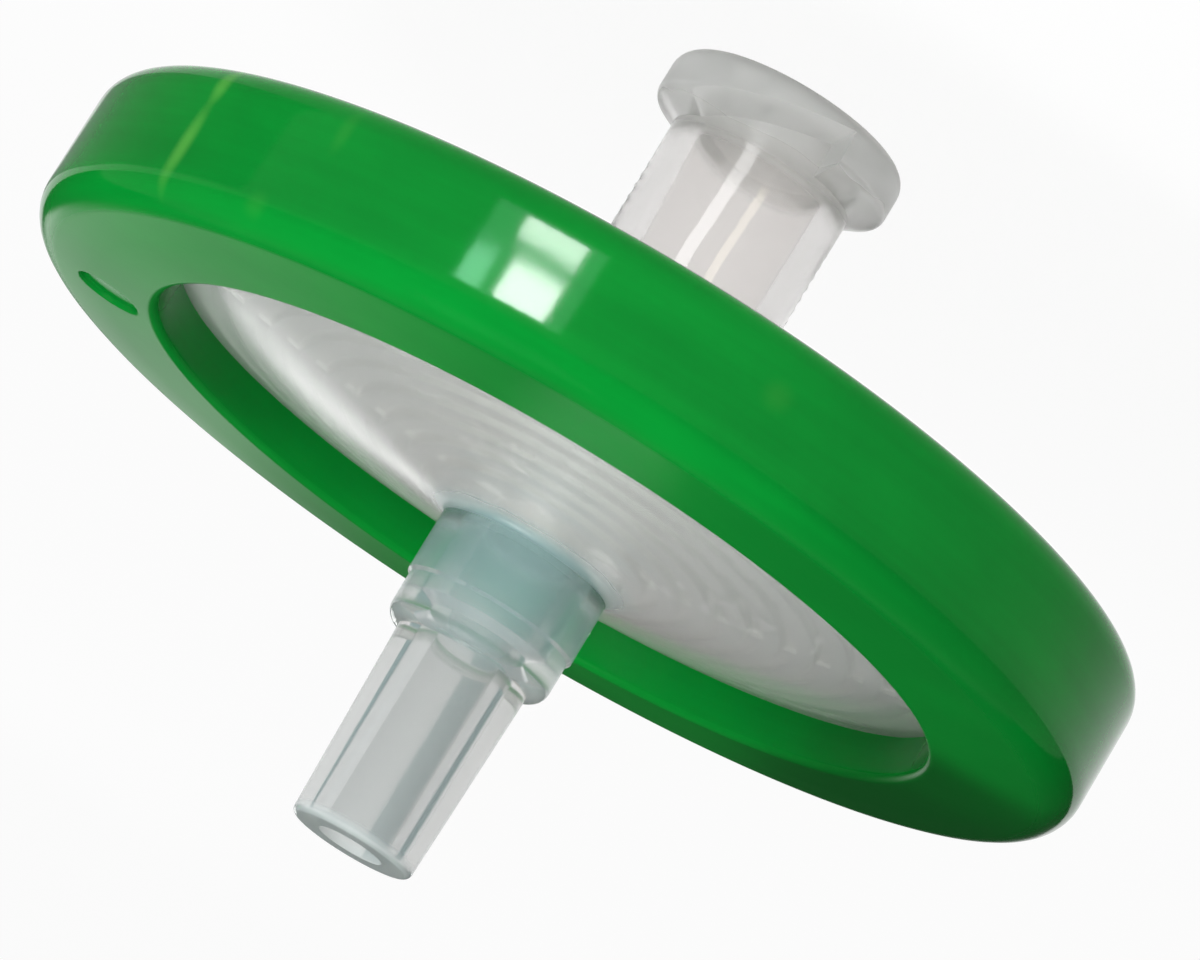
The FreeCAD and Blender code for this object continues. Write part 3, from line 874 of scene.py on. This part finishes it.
def set_up_cards(colours, studio):
    """Table, and the flag, nets and board that shape what gloss and clear plastic show."""
    table = white_table(colours, studio.table_glow)
    add_card("table_top", (0, 0, 0), (0, 0, 1), (3.0, 3.0), table)
    add_card("back_flag", (0, 0.5, 0.25), (0, 0, 0.25), (1.2, 0.5), black_velvet(), ("glossy",))
    net = black_net()
    add_card(
        "table_net", (60 * MM, 30 * MM, 0.5 * MM), (60 * MM, 30 * MM, 1), (60 * MM, 90 * MM), net,
        ("glossy",))
    add_card(
        "side_net", (-18 * MM, 6 * MM, 19 * MM), (-18 * MM, 6 * MM, 0), (22 * MM, 22 * MM), net,
        ("diffuse", "shadow"))
    on_axis = (0, 0, 8 * MM)
    add_card(
        "teal_card", round_about(on_axis, 112, 0, 70 * MM), on_axis, (44 * MM, 15 * MM),
        painted_board(colours), ("transmission",))


def build_studio(colours, studio):
    """Table, camera, lamps and plain room light."""
    set_up_camera(studio)
    set_up_lamps(colours)
    set_up_cards(colours, studio)

    world = bpy.data.worlds.new("room")
    world.use_nodes = True
    background = world.node_tree.nodes["Background"]
    background.inputs["Color"].default_value = (1, 1, 1, 1)
    background.inputs["Strength"].default_value = studio.room_light
    scene = bpy.context.scene
    scene.world = world
    scene.view_settings.view_transform = "Standard"


# ---------------------------------------- add-on


def finish_piece(piece, material, node):
    """Give a piece its material and slot, and let it stand for its node."""
    piece.data.materials.append(material)
    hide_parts(node)


class FILTER_OT_overmould_ring(bpy.types.Operator):
    """Build the green ring that is moulded round both halves"""

    bl_idname = "syringe_filter.overmould_ring"
    bl_label = "Overmould Ring"

    def execute(self, context):
        scene = context.scene
        material = moulded_green_polypropylene(scene.filter_colours)
        ring = build_overmould_ring(scene.filter_sizes)
        finish_piece(ring, material, "overmould_ring")
        return {"FINISHED"}


class FILTER_OT_housing_halves(bpy.types.Operator):
    """Build the outlet half and the inlet half in natural polypropylene"""

    bl_idname = "syringe_filter.housing_halves"
    bl_label = "Housing Halves"

    def execute(self, context):
        scene = context.scene
        material = moulded_natural_polypropylene(scene.filter_colours)
        outlet = build_outlet_half(scene.filter_sizes)
        finish_piece(outlet, material, "outlet_housing")
        inlet = build_inlet_half(scene.filter_sizes)
        finish_piece(inlet, material, "inlet_housing")
        return {"FINISHED"}


class FILTER_OT_filter_film(bpy.types.Operator):
    """Build the white film that is held between the halves"""

    bl_idname = "syringe_filter.filter_film"
    bl_label = "Filter Film"

    def execute(self, context):
        scene = context.scene
        film = build_filter_film(scene.filter_sizes)
        finish_piece(film, microporous_film(scene.filter_colours), "membrane")
        return {"FINISHED"}


class FILTER_OT_studio(bpy.types.Operator):
    """Set up the table, the camera and the light"""

    bl_idname = "syringe_filter.studio"
    bl_label = "Studio"

    def execute(self, context):
        scene = context.scene
        build_studio(scene.filter_colours, scene.filter_studio)
        return {"FINISHED"}


class FILTER_PT_sidebar(bpy.types.Panel):
    """Steps and settings of the syringe filter"""

    bl_idname = "FILTER_PT_sidebar"
    bl_label = "Syringe Filter"
    bl_space_type = "VIEW_3D"
    bl_region_type = "UI"
    bl_category = "Filter"

    def draw(self, context):
        layout, scene = self.layout, context.scene
        for step in STEPS:
            layout.operator(step.bl_idname)
        for group in (scene.filter_sizes, scene.filter_colours, scene.filter_studio):
            box = layout.box()
            for name in group.__annotations__:
                box.prop(group, name)


STEPS = (
    FILTER_OT_overmould_ring, FILTER_OT_housing_halves, FILTER_OT_filter_film, FILTER_OT_studio)
CLASSES = (FilterSizes, FilterColours, StudioSettings, *STEPS, FILTER_PT_sidebar)


def register():
    """Register the classes and hang the settings on the scene."""
    for cls in CLASSES:
        bpy.utils.register_class(cls)
    bpy.types.Scene.filter_sizes = bpy.props.PointerProperty(type=FilterSizes)
    bpy.types.Scene.filter_colours = bpy.props.PointerProperty(type=FilterColours)
    bpy.types.Scene.filter_studio = bpy.props.PointerProperty(type=StudioSettings)


def unregister():
    """Take the settings off the scene and unregister the classes."""
    del bpy.types.Scene.filter_studio
    del bpy.types.Scene.filter_colours
    del bpy.types.Scene.filter_sizes
    for cls in reversed(CLASSES):
        bpy.utils.unregister_class(cls)


def main():
    """Build everything in order."""
    register()
    bpy.ops.syringe_filter.overmould_ring()
    bpy.ops.syringe_filter.housing_halves()
    bpy.ops.syringe_filter.filter_film()
    bpy.ops.syringe_filter.studio()


if __name__ == "__main__":
    main()
